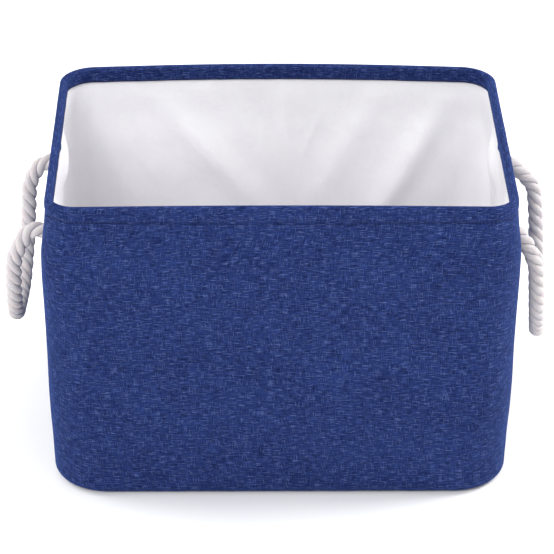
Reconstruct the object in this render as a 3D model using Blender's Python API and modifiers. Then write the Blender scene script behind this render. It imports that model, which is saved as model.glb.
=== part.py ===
"""Fabric storage bin: linen-look shell, wire-stiffened hem, coated drop-in
liner and two cotton-rope handles.

Metres, +Z up. Origin at the centre of the base, on the floor. +X is to the
right of someone facing the front panel, the front panel faces -Y.
"""
import math
import bpy
import bmesh
from mathutils import Matrix, Vector

# ---------------------------------------------------------------- dimensions
HEIGHT = 0.280            # floor to the top of the hem, at the corners
RIM_HALF_X = 0.200        # outer half width of the rim
RIM_HALF_Y = 0.150        # outer half depth of the rim
CORNER_R_FRONT = 0.048    # plan radius of the two front corners, at the floor
CORNER_R_RIM = 0.027      # the same corners, drawn tighter by the wire in the rim
CORNER_R_BACK = 0.030     # plan radius of the two back corners
PANEL_BOW = 0.003         # long panels bow out by this at mid-width
RIM_RISE = 0.003          # the rim stands this much higher at mid-width
BASE_R = 0.010            # soft bottom edge
BASE_INSET = 0.030        # base seam lies this far in under the wall
# outward bulge of the filled wall: (share of the height, metres)
BULGE = ((0.0, 0.0), (0.12, 0.0008), (0.30, 0.0024), (0.55, 0.0033),
         (0.80, 0.0041), (0.93, 0.0006), (1.0, 0.0))

CLOTH = 0.0013            # shell cloth with its seam allowance
LINER_CLOTH = 0.0007      # coated liner cloth
GAP = 0.0003              # air between pieces that touch
HEM_DEPTH = 0.014         # how far the hem is turned down inside
HEM_WIDTH = 0.0066        # thickness of the rim
LINER_IN = 0.0042         # liner's outer face behind the shell's outer face
WIRE_D = 0.0020           # spring steel rim wire
FERRULE_D = 0.0033        # crimp that joins the wire's two ends
FERRULE_L = 0.016
THREAD_D = 0.0006

ROPE_R = 0.007            # 14 mm three-strand cotton rope
HOLE_Z = 0.2205           # rope holes, above the floor
HOLE_HALF_Y = 0.072       # rope holes, either side of the middle
HOLE_R = ROPE_R + GAP
HINGE_OUT = 0.016         # bending axis of a rope, outside the wall
LEFT_DROP = 0.108         # left loop, hinge axis to centreline at the bottom
RIGHT_DROP = 0.127
LEFT_REAR_IN = 0.006      # the left loop's rear leg hangs this much nearer the wall
RIGHT_TWIST = 0.007       # right loop is twisted about the vertical
REACH = 0.2369            # outermost point of both loops' centrelines
LOOP_SHAPE = 2.3          # exponent of the loop's outline
JOINT_GAP = 0.00065
KNOT_R = 0.0135
KNOT_T = 0.0105           # the knot is pressed flat between shell and liner
BACKING_T = 0.0010
BACKING_L = 0.180
BACKING_H = 0.024
BACKING_IN = 0.0010       # the flat strip spans the wall's slight curve

for old in list(bpy.data.objects):
    bpy.data.objects.remove(old, do_unlink=True)

parts = bpy.data.collections.new("fabric_storage_bin")
cutters = bpy.data.collections.new("cutters")
bpy.context.scene.collection.children.link(parts)
bpy.context.scene.collection.children.link(cutters)


# ------------------------------------------------------------------ materials
def material(name, colour, rough, metal=0.0):
    mat = bpy.data.materials.new(name)
    mat.use_nodes = True
    bsdf = mat.node_tree.nodes["Principled BSDF"]
    bsdf.inputs["Base Color"].default_value = (*colour, 1.0)
    bsdf.inputs["Roughness"].default_value = rough
    bsdf.inputs["Metallic"].default_value = metal
    return mat


BLUE = (0.026, 0.047, 0.153)
WHITE = (0.80, 0.80, 0.83)
ROPE = (0.72, 0.69, 0.66)


# --------------------------------------------------------------- wall surface
def smooth(values, t):
    """Piecewise cubic with flat-limited slopes through (t, v) stations."""
    n = len(values)
    slopes = []
    for i in range(n):
        if i == 0 or i == n - 1:
            slopes.append(0.0)
            continue
        a = (values[i][1] - values[i - 1][1]) / (values[i][0] - values[i - 1][0])
        b = (values[i + 1][1] - values[i][1]) / (values[i + 1][0] - values[i][0])
        slopes.append(0.0 if a * b <= 0 else 2 * a * b / (a + b))
    t = min(max(t, values[0][0]), values[-1][0])
    for i in range(n - 1):
        t0, v0 = values[i]
        t1, v1 = values[i + 1]
        if t <= t1:
            h = t1 - t0
            s = (t - t0) / h
            return ((2 * s**3 - 3 * s**2 + 1) * v0 + (s**3 - 2 * s**2 + s) * h * slopes[i]
                    + (-2 * s**3 + 3 * s**2) * v1 + (s**3 - s**2) * h * slopes[i + 1])
    return values[-1][1]


def outline(inset, z, front, side_n=3, arc_n=5, face_n=6):
    """Half of the bin's plan outline, from one side seam to the other.

    The front half runs from -X round the front to +X, the back half from +X
    round the back to -X. inset is measured in from the outer face.
    """
    grow = smooth(BULGE, z / HEIGHT)
    a = RIM_HALF_X + grow - inset
    b = RIM_HALF_Y + grow - inset
    r = CORNER_R_BACK
    if front:
        r = CORNER_R_FRONT + (CORNER_R_RIM - CORNER_R_FRONT) * z / HEIGHT
    r = max(r - inset, 0.004)
    pts = []
    for i in range(side_n):
        pts.append((-a, -(b - r) * i / side_n))
    for i in range(arc_n):
        w = 0.5 * math.pi * i / arc_n
        pts.append((-(a - r) - r * math.cos(w), -(b - r) - r * math.sin(w)))
    for i in range(face_n):
        pts.append((-(a - r) + 2 * (a - r) * i / face_n, -b))
    for i in range(arc_n):
        w = 0.5 * math.pi * i / arc_n
        pts.append(((a - r) + r * math.sin(w), -(b - r) - r * math.cos(w)))
    for i in range(side_n + 1):
        pts.append((a, -(b - r) * (side_n - i) / side_n))
    out = []
    for x, y in pts:
        swell = math.cos(0.5 * math.pi * x / a) * max(0.0, -y / b) ** 3
        y -= PANEL_BOW * swell * min(1.0, z / 0.05)
        rise = RIM_RISE * swell * (z / HEIGHT) ** 2
        if not front:
            x, y = -x, -y
        out.append(Vector((x, y, z + rise)))
    return out


def panel(name, profile, front, thickness, mat, seam_gap):
    """Open sheet swept round half the bin along (inset, z) stations."""
    rows = [outline(n, z, front) for n, z in profile]
    bm = bmesh.new()
    grid = []
    for row in rows:
        line = []
        for k, p in enumerate(row):
            q = p.copy()
            if k in (0, len(row) - 1):
                q.y += -seam_gap if front else seam_gap
            line.append(bm.verts.new(q))
        grid.append(line)
    for i in range(len(grid) - 1):
        for k in range(len(grid[0]) - 1):
            bm.faces.new((grid[i][k], grid[i][k + 1], grid[i + 1][k + 1], grid[i + 1][k]))
    bm.normal_update()
    mesh = bpy.data.meshes.new(name)
    bm.to_mesh(mesh)
    bm.free()
    obj = bpy.data.objects.new(name, mesh)
    parts.objects.link(obj)
    mesh.materials.append(mat)
    sol = obj.modifiers.new("cloth", "SOLIDIFY")
    sol.thickness = thickness
    sol.offset = -1.0
    sol.use_even_offset = True
    mesh.shade_smooth()
    mesh.set_sharp_from_angle(angle=math.radians(50))
    return obj


def arc(cn, cz, r, start, end, n):
    """Points of an arc in (inset, z), angles in degrees from +inset to +z."""
    out = []
    for i in range(n + 1):
        w = math.radians(start + (end - start) * i / n)
        out.append((cn + r * math.cos(w), cz + r * math.sin(w)))
    return out


# ---------------------------------------------------------------------- shell
linen = material("linen_blue", BLUE, 0.9)
lining = material("liner_white", WHITE, 0.45)

hem_r = HEM_WIDTH / 2
shell_profile = [(BASE_INSET, 0.0)]
shell_profile += arc(BASE_R, BASE_R, BASE_R, 270, 180, 4)
shell_profile += [(0.0, z) for z in (0.070, 0.130, 0.180, HOLE_Z + 0.012, 0.248, 0.262)]
shell_profile += arc(hem_r, HEIGHT - hem_r, hem_r, 180, 0, 4)
shell_profile += [(HEM_WIDTH, HEIGHT - HEM_DEPTH)]
for side, front in (("front", True), ("back", False)):
    panel("shell_" + side, shell_profile, front, CLOTH, linen, GAP / 2)


def plate(name, inset, z0, thickness, mat):
    """Flat base panel inside the base seam."""
    ring = []
    for front in (True, False):
        ring += outline(inset, 0.0, front)[:-1]
    bm = bmesh.new()
    verts = [bm.verts.new((p.x, p.y, z0)) for p in ring]
    bm.faces.new(verts)
    bm.normal_update()
    mesh = bpy.data.meshes.new(name)
    bm.to_mesh(mesh)
    bm.free()
    obj = bpy.data.objects.new(name, mesh)
    parts.objects.link(obj)
    mesh.materials.append(mat)
    sol = obj.modifiers.new("cloth", "SOLIDIFY")
    sol.thickness = thickness
    sol.offset = 1.0
    return obj


plate("shell_base", BASE_INSET + GAP, 0.0, CLOTH, linen)

# ---------------------------------------------------------------------- liner
LINER_FLOOR = CLOTH + GAP + 0.0009
LINER_R = 0.020
KNOT_FACE = CLOTH + BACKING_IN + BACKING_T + GAP + KNOT_T + 0.0009


def liner_profile():
    """The liner hangs from the hem and swells inward over the rope knots."""
    tuck = CLOTH + 0.0016
    out = [(LINER_IN + LINER_R + 0.008, LINER_FLOOR)]
    out += arc(LINER_IN + LINER_R, LINER_FLOOR + LINER_R, LINER_R, 270, 180, 3)
    out += [(LINER_IN, z) for z in (0.090, 0.165)]
    out += [(KNOT_FACE, HOLE_Z - 0.017), (KNOT_FACE, HOLE_Z + 0.016)]
    out += [(LINER_IN, 0.258), (tuck, HEIGHT - HEM_DEPTH + 0.004)]
    return out


def liner_panel(name, front):
    """The swelling over the knots is only on the sides: it fades to nothing
    along the front and back panels."""
    profile = liner_profile()
    flat = [(LINER_IN if abs(n - KNOT_FACE) < 1e-6 else n, z) for n, z in profile]
    bm = bmesh.new()
    grid = []
    for (n, z), (m, _) in zip(profile, flat):
        deep = outline(n, z, front)
        thin = outline(m, z, front)
        line = []
        for k, (p, q) in enumerate(zip(deep, thin)):
            y_limit = RIM_HALF_Y - (CORNER_R_FRONT if front else CORNER_R_BACK)
            share = 1.0 if abs(q.y) <= y_limit + 0.006 else 0.0
            v = q.lerp(p, share)
            if share:
                v.y = q.y
            if k in (0, len(deep) - 1):
                v.y += -GAP / 2 if front else GAP / 2
            line.append(bm.verts.new(v))
        grid.append(line)
    for i in range(len(grid) - 1):
        for k in range(len(grid[0]) - 1):
            bm.faces.new((grid[i][k], grid[i][k + 1], grid[i + 1][k + 1], grid[i + 1][k]))
    bm.normal_update()
    mesh = bpy.data.meshes.new(name)
    bm.to_mesh(mesh)
    bm.free()
    obj = bpy.data.objects.new(name, mesh)
    parts.objects.link(obj)
    mesh.materials.append(lining)
    sol = obj.modifiers.new("cloth", "SOLIDIFY")
    sol.thickness = LINER_CLOTH
    sol.offset = -1.0
    sol.use_even_offset = True
    mesh.shade_smooth()
    mesh.set_sharp_from_angle(angle=math.radians(50))


liner_panel("liner_front", True)
liner_panel("liner_back", False)
plate("liner_base", LINER_IN + LINER_R + 0.008 + GAP, LINER_FLOOR, LINER_CLOTH, lining)

# ------------------------------------------------------------------- rim wire
steel = material("spring_steel", (0.55, 0.56, 0.58), 0.35, 1.0)
thread = material("thread_blue", (0.035, 0.06, 0.19), 0.7)


def ring_points(inset, z):
    pts = []
    for front in (True, False):
        pts += outline(inset, z, front)[:-1]
    return pts


def tube(name, points, radius, resolution, cyclic, mat, radii=None):
    """Round tube along points, as a curve turned into a closed mesh."""
    curve = bpy.data.curves.new(name, "CURVE")
    curve.dimensions = "3D"
    curve.bevel_depth = radius
    curve.bevel_resolution = resolution
    curve.use_fill_caps = not cyclic
    curve.twist_mode = "MINIMUM"
    spline = curve.splines.new("POLY")
    spline.points.add(len(points) - 1)
    for i, p in enumerate(points):
        spline.points[i].co = (p[0], p[1], p[2], 1.0)
        spline.points[i].radius = 1.0 if radii is None else radii[i]
    spline.use_cyclic_u = cyclic
    wire = bpy.data.objects.new(name + "_path", curve)
    parts.objects.link(wire)
    bpy.context.view_layer.update()
    graph = bpy.context.evaluated_depsgraph_get()
    mesh = bpy.data.meshes.new_from_object(wire.evaluated_get(graph))
    mesh.name = name
    bm = bmesh.new()
    bm.from_mesh(mesh)
    bmesh.ops.remove_doubles(bm, verts=bm.verts, dist=0.00001)
    bm.to_mesh(mesh)
    bm.free()
    obj = bpy.data.objects.new(name, mesh)
    obj.matrix_world = wire.matrix_world.copy()
    parts.objects.link(obj)
    bpy.data.objects.remove(wire, do_unlink=True)
    mesh.materials.clear()
    mesh.materials.append(mat)
    mesh.shade_smooth()
    mesh.set_sharp_from_angle(angle=math.radians(50))
    return obj


wire_z = HEIGHT - hem_r
loop_pts = ring_points(hem_r, wire_z)
# the wire's ends meet at the middle of the back, inside the ferrule
back_mid = max(range(len(loop_pts)), key=lambda i: loop_pts[i].y - 10 * abs(loop_pts[i].x))
loop_pts = loop_pts[back_mid:] + loop_pts[:back_mid]
seam = loop_pts[0]
start_dir = (loop_pts[1] - seam).normalized()
end_dir = (loop_pts[-1] - seam).normalized()
open_wire = [seam + start_dir * GAP] + loop_pts[1:] + [seam + end_dir * GAP]
tube("rim_wire", open_wire, WIRE_D / 2, 1, False, steel)

# crimped ferrule: a short turned tube along X
bore = WIRE_D / 2 + GAP
outer = FERRULE_D / 2
half = FERRULE_L / 2
bm = bmesh.new()
section = [(bore, half), (outer, half), (outer, -half), (bore, -half)]
ring = [bm.verts.new((r, 0.0, z)) for r, z in section]
for i in range(4):
    bm.edges.new((ring[i], ring[(i + 1) % 4]))
mesh = bpy.data.meshes.new("rim_wire_ferrule")
bm.to_mesh(mesh)
bm.free()
ferrule = bpy.data.objects.new("rim_wire_ferrule", mesh)
parts.objects.link(ferrule)
mesh.materials.append(material("ferrule_steel", (0.6, 0.6, 0.62), 0.3, 1.0))
screw = ferrule.modifiers.new("turn", "SCREW")
screw.angle = 2 * math.pi
screw.steps = 12
screw.render_steps = 12
screw.use_merge_vertices = True
screw.merge_threshold = 0.00001
ferrule.matrix_world = Matrix.Translation(seam) @ Matrix.Rotation(math.pi / 2, 4, "Y")

# stitch line that closes the hem, just proud of the cloth
tube("hem_stitching", ring_points(-(GAP + THREAD_D / 2), HEIGHT - HEM_DEPTH + 0.0015),
     THREAD_D / 2, 0, True, thread)

# -------------------------------------------------------------------- handles
cotton = material("cotton_rope", ROPE, 0.85)
backing_mat = material("backing_canvas", (0.45, 0.45, 0.47), 0.9)
WALL_X = RIM_HALF_X + smooth(BULGE, HOLE_Z / HEIGHT)
HINGE_X = WALL_X + HINGE_OUT


def loop_path(sign, drop, twist, lean, rear_in, flare, settle, reach):
    """Centreline of a hanging loop from the rear hinge point to the front."""
    def at(t):
        s, c = math.sin(t), max(math.cos(t), 0.0)
        y = HOLE_HALF_Y * math.copysign(abs(s) ** (2 / LOOP_SHAPE), s)
        d = drop * c ** (2 / LOOP_SHAPE)
        out = flare * (1 - math.exp(-d / settle)) + lean * d
        out += twist * (y / HOLE_HALF_Y) * (1 - math.exp(-d / 0.015))
        out -= rear_in * max(0.0, y / HOLE_HALF_Y) * (1 - math.exp(-d / 0.015))
        return Vector((HINGE_X + out, y, HOLE_Z - d))

    fine = [at(math.pi / 2 - math.pi * i / 720) for i in range(721)]
    far = max(p.x for p in fine)
    for p in fine:
        p.x = sign * (HINGE_X + (p.x - HINGE_X) * (reach - HINGE_X) / (far - HINGE_X))
    lengths = [0.0]
    for a, b in zip(fine, fine[1:]):
        lengths.append(lengths[-1] + (b - a).length)
    total = lengths[-1]
    n = 30
    out, k = [], 0
    for i in range(n + 1):
        want = total * i / n
        while k < len(lengths) - 2 and lengths[k + 1] < want:
            k += 1
        f = (want - lengths[k]) / max(lengths[k + 1] - lengths[k], 1e-9)
        out.append(fine[k].lerp(fine[k + 1], f))
    return out


def rope_loop(name, sign, drop, twist, lean, rear_in, flare, settle, reach):
    path = loop_path(sign, drop, twist, lean, rear_in, flare, settle, reach)
    start = (path[1] - path[0]).normalized()
    finish = (path[-2] - path[-1]).normalized()
    steps = [75, 50, 25]
    pts = [path[0] - start * ROPE_R * math.sin(math.radians(w)) for w in steps]
    rad = [math.cos(math.radians(w)) for w in steps]
    pts += path
    rad += [1.0] * len(path)
    for w in reversed(steps):
        pts.append(path[-1] - finish * ROPE_R * math.sin(math.radians(w)))
        rad.append(math.cos(math.radians(w)))
    obj = tube(name, pts, ROPE_R, 2, False, cotton, rad)
    # the loop's origin lies on its bending axis, midway between the ropes
    pivot = Vector((sign * HINGE_X, 0.0, HOLE_Z))
    obj.data.transform(Matrix.Translation(-pivot))
    obj.location = pivot
    return obj


rope_loop("left_handle_loop", -1, LEFT_DROP, 0.0, 0.030, LEFT_REAR_IN, 0.0145, 0.012,
          REACH)
rope_loop("right_handle_loop", 1, RIGHT_DROP, RIGHT_TWIST, 0.055, 0.0, 0.009, 0.015,
          REACH)


def turned(name, section, steps, mat, origin, sign):
    """Closed solid turned about an axis that points out along sign * X."""
    bm = bmesh.new()
    verts = [bm.verts.new((r, 0.0, h)) for r, h in section]
    for a, b in zip(verts, verts[1:]):
        bm.edges.new((a, b))
    mesh = bpy.data.meshes.new(name)
    bm.to_mesh(mesh)
    bm.free()
    obj = bpy.data.objects.new(name, mesh)
    parts.objects.link(obj)
    mesh.materials.append(mat)
    mod = obj.modifiers.new("turn", "SCREW")
    mod.angle = 2 * math.pi
    mod.steps = steps
    mod.render_steps = steps
    mod.use_merge_vertices = True
    mod.merge_threshold = 0.00001
    obj.matrix_world = Matrix.Translation(origin) @ Matrix.Rotation(sign * math.pi / 2, 4, "Y")
    return obj


# rope end: a knot behind the wall, a neck through it and a short stub outside.
# heights are measured outward from the shell's outer face
stub = HINGE_OUT - ROPE_R - JOINT_GAP
knot_top = -(CLOTH + BACKING_IN + BACKING_T + GAP)
knot_low = knot_top - KNOT_T
end_section = [(0.0, stub), (ROPE_R * 0.45, stub), (ROPE_R * 0.80, stub - 0.0014),
               (ROPE_R, stub - 0.0045), (ROPE_R, knot_top),
               (KNOT_R * 0.86, knot_top), (KNOT_R, knot_top - KNOT_T * 0.3),
               (KNOT_R, knot_low + KNOT_T * 0.3), (KNOT_R * 0.80, knot_low), (0.0, knot_low)]
for side, sign in (("left", -1), ("right", 1)):
    for end, y_sign in (("front", -1), ("rear", 1)):
        spot = Vector((sign * WALL_X, y_sign * HOLE_HALF_Y, HOLE_Z))
        turned(side + "_rope_end_" + end, end_section, 14, cotton, spot, sign)


# ------------------------------------------- holes, backing and hole stitching
def cutter(name, spot, sign, radius, length):
    bm = bmesh.new()
    bmesh.ops.create_cone(bm, cap_ends=True, segments=16, radius1=radius,
                          radius2=radius, depth=length)
    mesh = bpy.data.meshes.new(name)
    bm.to_mesh(mesh)
    bm.free()
    obj = bpy.data.objects.new(name, mesh)
    cutters.objects.link(obj)
    obj.hide_render = True
    obj.display_type = "WIRE"
    obj.matrix_world = Matrix.Translation(spot) @ Matrix.Rotation(sign * math.pi / 2, 4, "Y")
    return obj


def cut(obj, tool):
    mod = obj.modifiers.new("hole", "BOOLEAN")
    mod.operation = "DIFFERENCE"
    mod.solver = "EXACT"
    mod.object = tool


for side, sign in (("left", -1), ("right", 1)):
    # woven strip behind both holes
    inner = WALL_X - CLOTH - BACKING_IN
    bm = bmesh.new()
    bmesh.ops.create_cube(bm, size=1.0)
    bmesh.ops.scale(bm, vec=(BACKING_T, BACKING_L, BACKING_H), verts=bm.verts)
    mesh = bpy.data.meshes.new(side + "_handle_backing")
    bm.to_mesh(mesh)
    bm.free()
    strip = bpy.data.objects.new(side + "_handle_backing", mesh)
    parts.objects.link(strip)
    strip.location = (sign * (inner - BACKING_T / 2), 0.0, HOLE_Z)
    mesh.materials.append(backing_mat)
    for end, y_sign in (("front", -1), ("rear", 1)):
        spot = Vector((sign * WALL_X, y_sign * HOLE_HALF_Y, HOLE_Z))
        tool = cutter(side + "_" + end + "_hole", spot, sign, HOLE_R / math.cos(math.pi / 16), 0.012)
        cut(strip, tool)
        cut(bpy.data.objects["shell_" + ("front" if y_sign < 0 else "back")], tool)
        # overcast stitching round the hole's edge
        ring = []
        for i in range(14):
            w = 2 * math.pi * i / 14
            ring.append(spot + Vector((sign * (GAP + 0.0008), 0.0088 * math.cos(w), 0.0088 * math.sin(w))))
        tube(side + "_hole_stitching_" + end, ring, 0.0008, 1, True, thread)
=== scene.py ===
import math

import bmesh
import bpy
import numpy as np
from mathutils import Matrix, Vector, noise


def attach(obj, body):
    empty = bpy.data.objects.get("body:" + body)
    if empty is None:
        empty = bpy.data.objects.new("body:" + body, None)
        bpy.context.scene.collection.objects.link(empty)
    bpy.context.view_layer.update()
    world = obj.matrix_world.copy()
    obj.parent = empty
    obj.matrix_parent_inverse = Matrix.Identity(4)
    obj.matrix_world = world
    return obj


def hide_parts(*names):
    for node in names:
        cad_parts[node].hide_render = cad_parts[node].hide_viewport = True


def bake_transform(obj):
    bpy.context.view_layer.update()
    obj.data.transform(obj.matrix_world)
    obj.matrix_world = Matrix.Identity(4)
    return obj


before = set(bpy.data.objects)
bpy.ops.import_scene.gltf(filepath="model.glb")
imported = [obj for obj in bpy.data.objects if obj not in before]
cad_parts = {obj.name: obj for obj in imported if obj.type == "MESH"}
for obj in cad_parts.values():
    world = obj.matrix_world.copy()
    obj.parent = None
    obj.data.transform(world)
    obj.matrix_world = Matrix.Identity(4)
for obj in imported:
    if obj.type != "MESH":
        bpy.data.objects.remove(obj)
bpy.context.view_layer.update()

# ------------------------------------------------------------------ the design
# the same dimensions as the CAD, in metres
HEIGHT, RIM_X, RIM_Y = 0.280, 0.200, 0.150
R_FRONT, R_RIM, R_BACK = 0.048, 0.027, 0.030
BOW, RISE = 0.003, 0.003
BASE_R, BASE_INSET = 0.010, 0.030
BULGE = ((0.0, 0.0), (0.12, 0.0008), (0.30, 0.0024), (0.55, 0.0033),
         (0.80, 0.0041), (0.93, 0.0006), (1.0, 0.0))
HEM_DEPTH, HEM_W = 0.014, 0.0066
CLOTH = 0.0011
LINER_IN, LINER_T, LINER_R = 0.0042, 0.0006, 0.020
LINER_FLOOR = 0.0025
HOLE_Z, HOLE_Y = 0.2205, 0.072
HINGE_OUT = 0.016
LEFT_DROP, RIGHT_DROP = 0.108, 0.127
TWIST = {"left": 0.0, "right": 0.007}
REAR_IN = {"left": 0.006, "right": 0.0}
LEAN = {"left": 0.030, "right": 0.055}
FLARE = {"left": (0.0145, 0.012), "right": (0.009, 0.015)}
REACH = {"left": 0.2352, "right": 0.2385}
LOOP_SHAPE = 2.3
STITCH_Z = HEIGHT - HEM_DEPTH + 0.0015

# --------------------------------------------------------------------- camera
CAM_YAW, CAM_PITCH, CAM_ROLL = 0.016, 0.4798, 0.0059
CAM_TARGET = Vector((-0.0018, 0.0, 0.1381))
CAM_DIST, CAM_LENS = 2.5656, 184.457

fwd = Vector((math.sin(CAM_YAW) * math.cos(CAM_PITCH),
              math.cos(CAM_YAW) * math.cos(CAM_PITCH), -math.sin(CAM_PITCH)))
right = Vector((math.cos(CAM_YAW), -math.sin(CAM_YAW), 0.0))
up = right.cross(fwd)
r2 = right * math.cos(CAM_ROLL) + up * math.sin(CAM_ROLL)
u2 = up * math.cos(CAM_ROLL) - right * math.sin(CAM_ROLL)
cam = bpy.data.cameras.new("camera")
cam.sensor_width = 36.0
cam.lens = CAM_LENS
cam.clip_start, cam.clip_end = 0.05, 50.0
camera = bpy.data.objects.new("camera", cam)
bpy.context.scene.collection.objects.link(camera)
place = Matrix((r2, u2, -fwd)).transposed().to_4x4()
place.translation = CAM_TARGET - fwd * CAM_DIST
camera.matrix_world = place
bpy.context.scene.camera = camera


# ---------------------------------------------------------------- small tools
def hermite(stations, t):
    """Piecewise cubic through (t, v) stations with limited slopes."""
    t = np.asarray(t, float)
    ts = np.array([s[0] for s in stations])
    vs = np.array([s[1] for s in stations])
    d = np.diff(vs) / np.diff(ts)
    m = np.zeros(len(ts))
    for i in range(1, len(ts) - 1):
        a, b = d[i - 1], d[i]
        m[i] = 0.0 if a * b <= 0 else 2 * a * b / (a + b)
    t = np.clip(t, ts[0], ts[-1])
    i = np.clip(np.searchsorted(ts, t, side="right") - 1, 0, len(ts) - 2)
    h = ts[i + 1] - ts[i]
    s = (t - ts[i]) / h
    return ((2 * s**3 - 3 * s**2 + 1) * vs[i] + (s**3 - 2 * s**2 + s) * h * m[i]
            + (-2 * s**3 + 3 * s**2) * vs[i + 1] + (s**3 - s**2) * h * m[i + 1])


def half_outline(s, a, b, r):
    """Points and outward normals at shares s of the front half, -X to +X."""
    side = b - r
    arc = 0.5 * math.pi * r
    face = 2 * (a - r)
    total = 2 * side + 2 * arc + face
    d = np.asarray(s, float) * total
    x, y = np.empty_like(d), np.empty_like(d)
    nx, ny = np.empty_like(d), np.empty_like(d)
    k = d < side
    x[k], y[k], nx[k], ny[k] = -a, -d[k], -1, 0
    k = (d >= side) & (d < side + arc)
    w = (d[k] - side) / r
    x[k], y[k] = -(a - r) - r * np.cos(w), -(b - r) - r * np.sin(w)
    nx[k], ny[k] = -np.cos(w), -np.sin(w)
    k = (d >= side + arc) & (d < side + arc + face)
    x[k], y[k], nx[k], ny[k] = -(a - r) + d[k] - side - arc, -b, 0, -1
    k = (d >= side + arc + face) & (d < side + 2 * arc + face)
    w = (d[k] - side - arc - face) / r
    x[k], y[k] = (a - r) + r * np.sin(w), -(b - r) - r * np.cos(w)
    nx[k], ny[k] = np.sin(w), -np.cos(w)
    k = d >= side + 2 * arc + face
    x[k], y[k], nx[k], ny[k] = a, -(b - r) + d[k] - side - 2 * arc - face, 1, 0
    return x, y, nx, ny, total


def corner_r(z, front):
    """Plan radius of the corners; the front ones tighten towards the rim."""
    return R_FRONT + (R_RIM - R_FRONT) * z / HEIGHT if front else R_BACK


def ring(s, z, inset, front):
    """World points, normals and perimeter of half the bin at height z."""
    grow = float(hermite(BULGE, z / HEIGHT))
    a, b = RIM_X + grow, RIM_Y + grow
    r = max(corner_r(z, front) - inset, 0.003)
    x, y, nx, ny, total = half_outline(s, a - inset, b - inset, r)
    swell = np.cos(0.5 * math.pi * np.clip(x / (a - inset), -1, 1)) * np.maximum(0, -y / (b - inset)) ** 3
    y = y - BOW * swell * min(1.0, z / 0.05)
    zz = z + RISE * swell * (z / HEIGHT) ** 2
    if not front:
        x, y, nx, ny = -x, -y, -nx, -ny
    return np.stack([x, y, zz], 1), np.stack([nx, ny, np.zeros_like(nx)], 1), total


def grid_mesh(name, pts, uv, closed=False):
    """Quad mesh over a rows x columns grid of points, with a UV map in metres."""
    rows, cols = pts.shape[:2]
    n_c = cols if closed else cols - 1
    i, k = np.meshgrid(np.arange(rows - 1), np.arange(n_c), indexing="ij")
    k2 = (k + 1) % cols
    quads = np.stack([i * cols + k, i * cols + k2, (i + 1) * cols + k2, (i + 1) * cols + k], -1)
    quads = quads.reshape(-1, 4)
    mesh = bpy.data.meshes.new(name)
    mesh.vertices.add(rows * cols)
    mesh.vertices.foreach_set("co", pts.reshape(-1).astype(np.float32))
    mesh.loops.add(quads.size)
    mesh.loops.foreach_set("vertex_index", quads.reshape(-1).astype(np.int32))
    mesh.polygons.add(len(quads))
    mesh.polygons.foreach_set("loop_start", np.arange(0, quads.size, 4, dtype=np.int32))
    mesh.polygons.foreach_set("loop_total", np.full(len(quads), 4, dtype=np.int32))
    mesh.update(calc_edges=True)
    layer = mesh.uv_layers.new(name="weave")
    u = uv.reshape(-1, 2)[quads.reshape(-1)]
    if closed:
        u = u.reshape(-1, 4, 2)
        span = uv[0, 1, 0] - uv[0, 0, 0]
        wrap = (k2.reshape(-1) == 0)
        u[wrap, 1, 0] = u[wrap, 0, 0] + span
        u[wrap, 2, 0] = u[wrap, 3, 0] + span
        u = u.reshape(-1, 2)
    layer.data.foreach_set("uv", u.reshape(-1).astype(np.float32))
    mesh.shade_smooth()
    obj = bpy.data.objects.new(name, mesh)
    bpy.context.scene.collection.objects.link(obj)
    return obj


def bake(obj):
    """Puts an object's modifiers into its mesh."""
    bpy.context.view_layer.update()
    graph = bpy.context.evaluated_depsgraph_get()
    mesh = bpy.data.meshes.new_from_object(obj.evaluated_get(graph))
    old = obj.data
    obj.modifiers.clear()
    obj.data = mesh
    mesh.name = obj.name
    bpy.data.meshes.remove(old)
    return obj


def solidify(obj, thickness, rim_bevel=0.0):
    m = obj.modifiers.new("cloth", "SOLIDIFY")
    m.thickness = thickness
    m.offset = -1.0
    m.use_even_offset = False
    if rim_bevel:
        b = obj.modifiers.new("soft_edge", "BEVEL")
        b.width = rim_bevel
        b.segments = 2
        b.limit_method = "ANGLE"
        b.angle_limit = math.radians(60)


def soft_noise(p, scale, seed):
    return noise.noise(Vector((p[0] / scale + seed, p[1] / scale - seed, p[2] / scale + 3.1 * seed)))


def step(lo, hi, t):
    t = np.clip((np.asarray(t, float) - lo) / (hi - lo), 0, 1)
    return t * t * (3 - 2 * t)


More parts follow.
